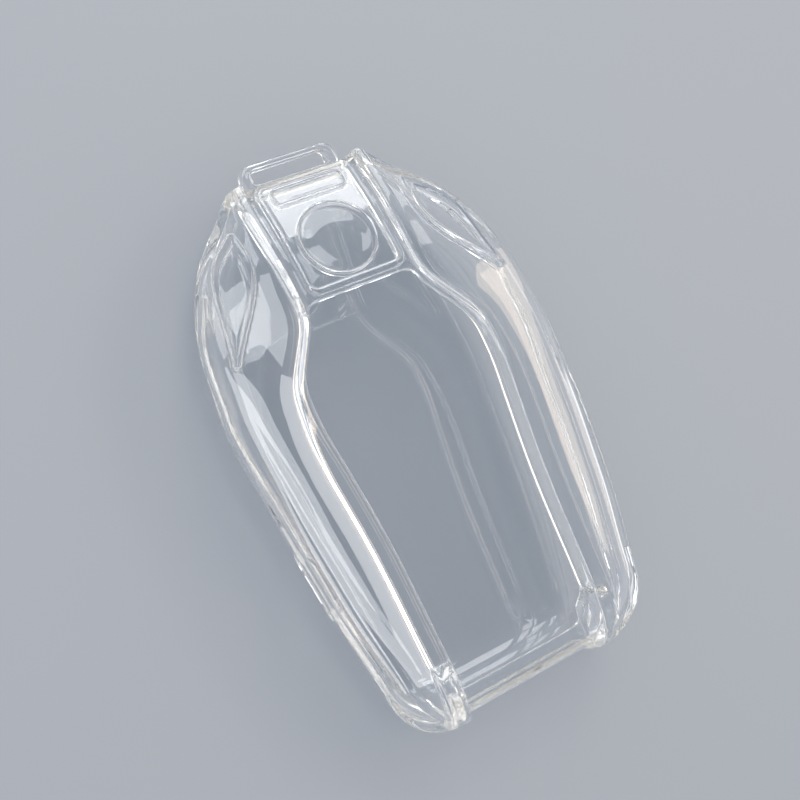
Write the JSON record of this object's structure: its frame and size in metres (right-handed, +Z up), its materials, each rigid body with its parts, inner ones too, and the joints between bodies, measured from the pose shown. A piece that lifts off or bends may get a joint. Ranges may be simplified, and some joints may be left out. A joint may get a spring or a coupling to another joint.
{
  "type": "key fob cover",
  "caption": "Clear snap-together key fob cover: rear and front shell with ridges, open display window, raised panel, press pads, port slot and key-ring tab.",
  "frame": {"origin": "middle of the flat back, at half the overall length", "axes": "+X across the cover to the right of its front, +Y along it towards the key-ring tab, +Z up from the back to the front"},
  "size_m": [0.0614, 0.0974, 0.018],
  "materials": {
    "clear_shell": "polished",
    "clear_pad": "polished"
  },
  "bodies": {
    "rear_shell": {"rear_shell": "clear_shell"},
    "front_shell": {"front_shell": "clear_shell"},
    "lock_pad": {"lock_pad": "clear_pad"},
    "unlock_pad": {"unlock_pad": "clear_pad"},
    "left_pad": {"left_pad": "clear_pad"},
    "right_pad": {"right_pad": "clear_pad"}
  },
  "joints": [
    {"name": "front_lift", "type": "slide", "parent": "rear_shell", "child": "front_shell", "axis": [0, 0, 1], "range_m": [0, 0.03]},
    {"name": "lock_press", "type": "slide", "parent": "front_shell", "child": "lock_pad", "axis": [0, -0.1913, -0.9815], "range_m": [0, 0.0006], "stiffness_N_per_m": 1500},
    {"name": "unlock_press", "type": "slide", "parent": "front_shell", "child": "unlock_pad", "axis": [0, -0.2807, -0.9598], "range_m": [0, 0.0006], "stiffness_N_per_m": 1500},
    {"name": "left_press", "type": "slide", "parent": "front_shell", "child": "left_pad", "axis": [0.0859, -0.14, -0.9864], "range_m": [0, 0.0006], "stiffness_N_per_m": 1500},
    {"name": "right_press", "type": "slide", "parent": "front_shell", "child": "right_pad", "axis": [-0.0859, -0.14, -0.9864], "range_m": [0, 0.0006], "stiffness_N_per_m": 1500}
  ]
}
